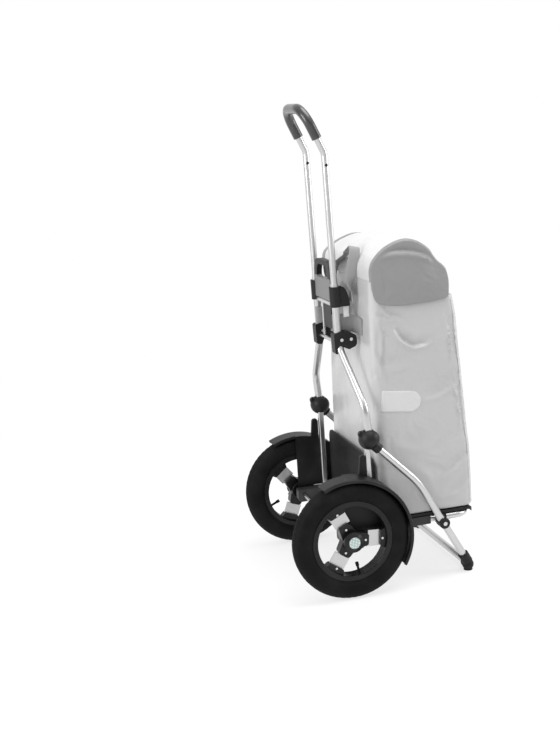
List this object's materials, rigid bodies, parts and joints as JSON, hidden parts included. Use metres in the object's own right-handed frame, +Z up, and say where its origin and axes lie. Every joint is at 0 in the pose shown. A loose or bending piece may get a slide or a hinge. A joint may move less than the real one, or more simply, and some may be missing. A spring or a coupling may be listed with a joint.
{
  "type": "shopping trolley",
  "caption": "Two-wheeled pull-along shopping trolley with a tall fabric bag, telescopic bow handle, folding tube frame and a bent-tube stand.",
  "frame": {"origin": "on the floor, at the centre of the trolley's footprint box when it stands on its wheels and stand", "axes": "+Z up, X along the axle, -Y towards the bag and the stand's foot, +Y towards the user"},
  "size_m": [0.496, 0.483, 1.164],
  "materials": {
    "frame_aluminium": "satin anodised, fine grain along the tubes",
    "spoke_aluminium": "brushed",
    "axle_steel": "bright drawn",
    "screw_steel": "bright plated",
    "arm_grey": "dark grey powder coat",
    "black_plastic": "fine moulded texture",
    "hub_plastic": "semi gloss",
    "grip_foam": "soft matt grip",
    "boot_rubber": "matt",
    "tyre_rubber": "matt rubber with fine tread grooves",
    "reflector_clear": "clear faceted reflector",
    "bag_fabric": "light grey coated woven fabric",
    "lid_fabric": "pale coated fabric with dark grey ears"
  },
  "bodies": {
    "chassis": {"axle": "axle_steel", "base_plate": "black_plastic", "back_panel": "black_plastic", "tray_tube": "frame_aluminium", "stand_tube": "frame_aluminium", "clip_bolts": "screw_steel", "pivot_pins": "axle_steel", "bag_body": "bag_fabric", "side_arm_left": "arm_grey", "side_arm_right": "arm_grey", "strut_left": "frame_aluminium", "strut_right": "frame_aluminium", "fender_left": "black_plastic", "fender_right": "black_plastic", "fender_bracket_left": "black_plastic", "fender_bracket_right": "black_plastic", "fold_joint_left": "black_plastic", "fold_joint_right": "black_plastic", "stand_boot_left": "boot_rubber", "stand_boot_right": "boot_rubber", "tray_clip_left": "black_plastic", "tray_clip_right": "black_plastic"},
    "upper_frame": {"mid_bracket": "black_plastic", "cross_tube": "frame_aluminium", "hook_bar": "frame_aluminium", "hanger_plate": "black_plastic", "hook_screws": "screw_steel", "lower_tube_left": "frame_aluminium", "lower_tube_right": "frame_aluminium", "knuckle_left": "black_plastic", "knuckle_right": "black_plastic", "hook_block_left": "black_plastic", "hook_block_right": "black_plastic"},
    "handle": {"handle_bow": "frame_aluminium", "grip": "grip_foam", "handle_tube_left": "frame_aluminium", "handle_tube_right": "frame_aluminium"},
    "bag_lid": {"bag_lid": "lid_fabric"},
    "wheel_left": {"tyre_left": "tyre_rubber", "inner_tube_left": "tyre_rubber", "rim_left": "hub_plastic", "spokes_left": "spoke_aluminium", "hub_left": "hub_plastic", "hub_cap_left": "hub_plastic", "reflector_left": "reflector_clear", "wheel_screws_left": "screw_steel"},
    "release_tab_left": {"release_tab_left": "hub_plastic"},
    "fold_button_left": {"fold_button_left": "black_plastic"},
    "snap_button_left": {"snap_button_left": "black_plastic"},
    "wheel_right": {"tyre_right": "tyre_rubber", "inner_tube_right": "tyre_rubber", "rim_right": "hub_plastic", "spokes_right": "spoke_aluminium", "hub_right": "hub_plastic", "hub_cap_right": "hub_plastic", "reflector_right": "reflector_clear", "wheel_screws_right": "screw_steel"},
    "release_tab_right": {"release_tab_right": "hub_plastic"},
    "fold_button_right": {"fold_button_right": "black_plastic"},
    "snap_button_right": {"snap_button_right": "black_plastic"}
  },
  "joints": [
    {"name": "frame_fold", "type": "hinge", "parent": "chassis", "child": "upper_frame", "pos_m": [0, 0.0285, 0.377], "axis": [1, 0, 0], "range_deg": [0, 95], "deforming": ["bag_body", "bag_lid"]},
    {"name": "handle_slide", "type": "slide", "parent": "upper_frame", "child": "handle", "axis": [0, 0.018, 0.9998], "range_m": [-0.08, 0]},
    {"name": "lid_hinge", "type": "hinge", "parent": "chassis", "child": "bag_lid", "pos_m": [0, -0.0035, 0.763], "axis": [1, 0, 0], "range_deg": [-65, 0]},
    {"name": "wheel_spin_left", "type": "hinge", "parent": "chassis", "child": "wheel_left", "pos_m": [-0.218, 0.0965, 0.145], "axis": [1, 0, 0], "continuous": true},
    {"name": "release_tab_push_left", "type": "slide", "parent": "wheel_left", "child": "release_tab_left", "axis": [0, 0.866, 0.5], "range_m": [0, 0.0025], "stiffness_N_per_m": 400, "springref_m": -0.002},
    {"name": "fold_button_push_left", "type": "slide", "parent": "chassis", "child": "fold_button_left", "axis": [0, -0.8, -0.6], "range_m": [0, 0.002], "stiffness_N_per_m": 600, "springref_m": -0.002},
    {"name": "snap_button_push_left", "type": "slide", "parent": "handle", "child": "snap_button_left", "axis": [1, 0, 0], "range_m": [0, 0.0025], "stiffness_N_per_m": 400, "springref_m": -0.002},
    {"name": "wheel_spin_right", "type": "hinge", "parent": "chassis", "child": "wheel_right", "pos_m": [0.218, 0.0965, 0.145], "axis": [1, 0, 0], "continuous": true},
    {"name": "release_tab_push_right", "type": "slide", "parent": "wheel_right", "child": "release_tab_right", "axis": [0, -0.7193, 0.6947], "range_m": [0, 0.0025], "stiffness_N_per_m": 400, "springref_m": -0.002},
    {"name": "fold_button_push_right", "type": "slide", "parent": "chassis", "child": "fold_button_right", "axis": [0, -0.8, -0.6], "range_m": [0, 0.002], "stiffness_N_per_m": 600, "springref_m": -0.002},
    {"name": "snap_button_push_right", "type": "slide", "parent": "handle", "child": "snap_button_right", "axis": [1, 0, 0], "range_m": [0, 0.0025], "stiffness_N_per_m": 400, "springref_m": -0.002}
  ]
}
